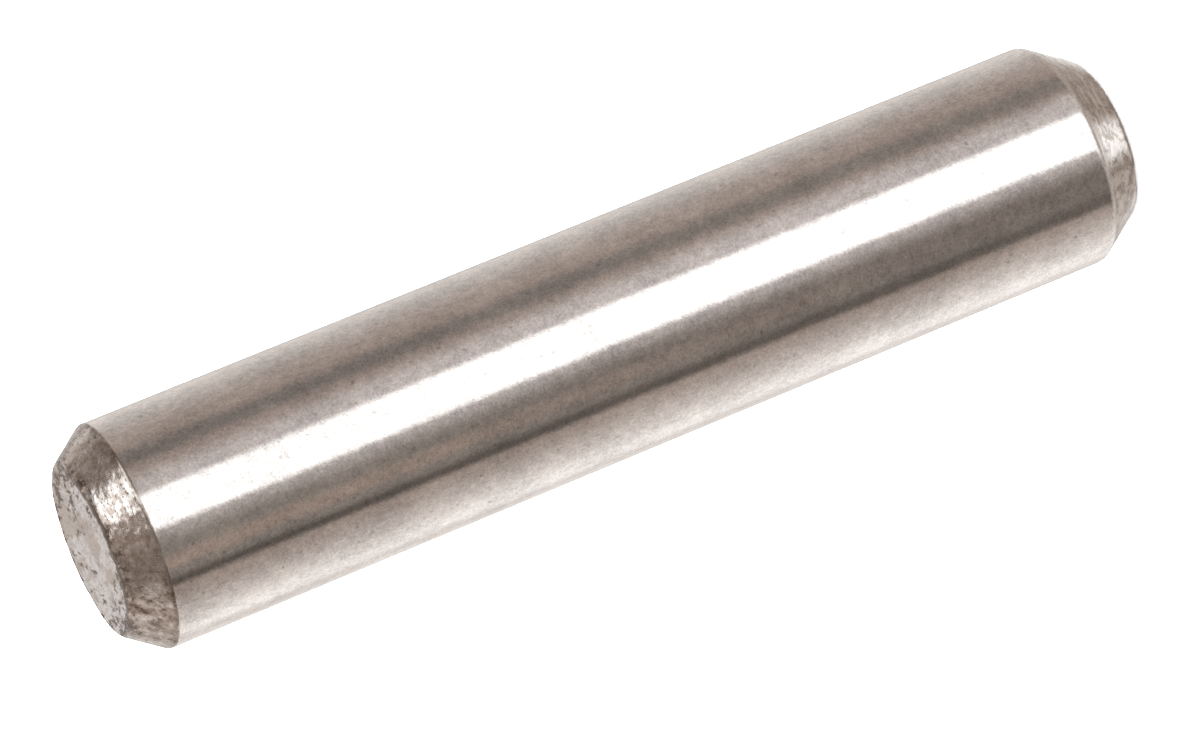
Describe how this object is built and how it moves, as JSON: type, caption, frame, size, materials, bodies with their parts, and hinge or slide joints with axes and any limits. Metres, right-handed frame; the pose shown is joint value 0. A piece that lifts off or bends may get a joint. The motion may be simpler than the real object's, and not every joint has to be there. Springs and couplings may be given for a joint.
{
  "type": "wheel axle pin",
  "caption": "Solid round steel axle pin with a ground shank and a chamfer at each end, for a small wheel or roller to turn on.",
  "frame": {"origin": "centre of the lower end face, which the pin stands on", "axes": "+Z along the pin's axis, from the lower end face (larger chamfer) to the upper end face"},
  "size_m": [0.008, 0.008, 0.0385],
  "materials": {
    "ground_steel": "centreless-ground shank with fine pits, turned chamfers and end faces with dull brown oxide patches"
  },
  "bodies": {
    "root": {"axle_pin": "ground_steel"}
  },
  "joints": []
}
